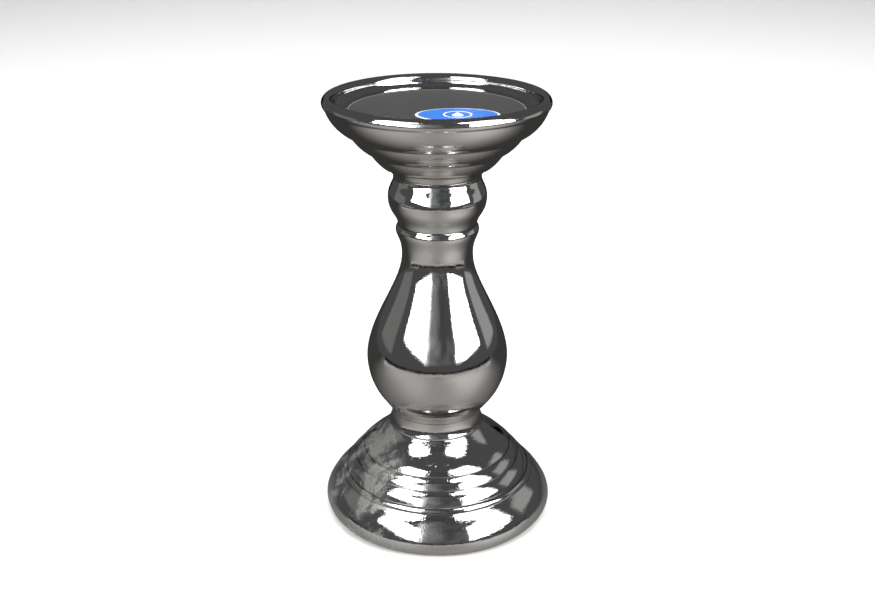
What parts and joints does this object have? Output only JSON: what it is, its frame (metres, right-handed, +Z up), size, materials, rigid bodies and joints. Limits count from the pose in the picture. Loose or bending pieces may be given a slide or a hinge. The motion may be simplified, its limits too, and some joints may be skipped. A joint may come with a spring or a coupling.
{
  "type": "candlestick",
  "caption": "Turned baluster candlestick with a stepped bell foot and a wide flat dish for a pillar candle.",
  "frame": {"origin": "centre of the foot, on the surface the felt pads rest on", "axes": "+Z up along the axis the castings are turned about; -Y is the front, the side of the dish that carries the label; +X to the right seen from the front"},
  "size_m": [0.1146, 0.1146, 0.2115],
  "materials": {
    "plated_castings": "polished",
    "steel_fasteners": "satin",
    "felt": "matte",
    "label_film": "gloss"
  },
  "bodies": {
    "root": {"base": "plated_castings", "collar": "plated_castings", "baluster": "plated_castings", "knop": "plated_castings", "dish": "plated_castings", "tie_rod": "steel_fasteners", "jam_nut": "steel_fasteners", "clamp_washer": "steel_fasteners", "spring_washer": "steel_fasteners", "hex_nut": "steel_fasteners", "label": "label_film", "felt_pad_1": "felt", "felt_pad_2": "felt", "felt_pad_3": "felt", "felt_pad_4": "felt"}
  },
  "joints": []
}
